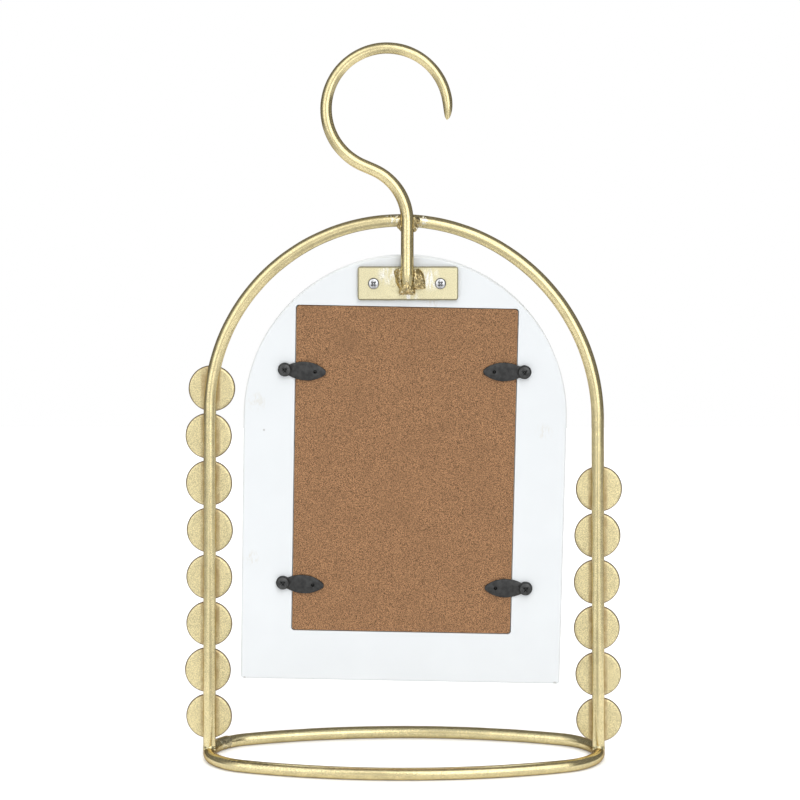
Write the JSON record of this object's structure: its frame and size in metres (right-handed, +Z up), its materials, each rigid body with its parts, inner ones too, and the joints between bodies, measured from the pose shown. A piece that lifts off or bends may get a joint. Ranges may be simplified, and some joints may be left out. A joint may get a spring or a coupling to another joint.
{
  "type": "picture frame",
  "caption": "Arch-topped picture frame hung inside a hooked gold rod stand, with an oval base ring, discs on its legs and turn buttons on its back.",
  "frame": {"origin": "middle of the base ring, on the floor", "axes": "+Z up; +Y towards the back, where the bracket and the turn buttons are, so the picture faces -Y; +X on the left as seen from the back"},
  "size_m": [0.2092, 0.082, 0.3413],
  "materials": {
    "gilt_paint": "satin gold paint with a fine metallic grain",
    "gilt_plate": "satin pale gold paint",
    "white_board": "matt white paint on fibreboard",
    "clear_glass": "clear float glass",
    "white_card": "plain matt card",
    "hardboard": "bare brown hardboard, lightly mottled",
    "black_steel": "matt black coated steel",
    "black_screw": "black oxide, satin",
    "plated_screw": "bright zinc plate"
  },
  "bodies": {
    "stand": {"arch_rod": "gilt_paint", "base_ring": "gilt_paint", "hook_rod": "gilt_paint", "bracket_plate": "gilt_plate", "left_disc_1": "gilt_paint", "left_disc_2": "gilt_paint", "left_disc_3": "gilt_paint", "left_disc_4": "gilt_paint", "left_disc_5": "gilt_paint", "left_disc_6": "gilt_paint", "left_disc_7": "gilt_paint", "left_disc_8": "gilt_paint", "right_disc_1": "gilt_paint", "right_disc_2": "gilt_paint", "right_disc_3": "gilt_paint", "right_disc_4": "gilt_paint", "right_disc_5": "gilt_paint", "right_disc_6": "gilt_paint", "hook_arch_weld": "gilt_paint", "hook_plate_weld": "gilt_paint", "left_foot_weld": "gilt_paint", "right_foot_weld": "gilt_paint", "ring_joint_weld": "gilt_paint", "board": "white_board", "glass_pane": "clear_glass", "blank_card": "white_card", "backing_board": "hardboard", "left_bracket_screw": "plated_screw", "right_bracket_screw": "plated_screw", "upper_left_button_screw": "black_screw", "upper_right_button_screw": "black_screw", "lower_left_button_screw": "black_screw", "lower_right_button_screw": "black_screw"},
    "upper_left_button": {"upper_left_turn_button": "black_steel"},
    "upper_right_button": {"upper_right_turn_button": "black_steel"},
    "lower_left_button": {"lower_left_turn_button": "black_steel"},
    "lower_right_button": {"lower_right_turn_button": "black_steel"}
  },
  "joints": [
    {"name": "upper_left_button_turn", "type": "hinge", "parent": "stand", "child": "upper_left_button", "pos_m": [0.05591, 0.001, 0.18827], "axis": [0, 1, 0], "continuous": true},
    {"name": "upper_right_button_turn", "type": "hinge", "parent": "stand", "child": "upper_right_button", "pos_m": [-0.05648, 0.001, 0.18701], "axis": [0, 1, 0], "continuous": true},
    {"name": "lower_left_button_turn", "type": "hinge", "parent": "stand", "child": "lower_left_button", "pos_m": [0.05739, 0.001, 0.08629], "axis": [0, 1, 0], "continuous": true},
    {"name": "lower_right_button_turn", "type": "hinge", "parent": "stand", "child": "lower_right_button", "pos_m": [-0.05762, 0.001, 0.08345], "axis": [0, 1, 0], "continuous": true}
  ]
}
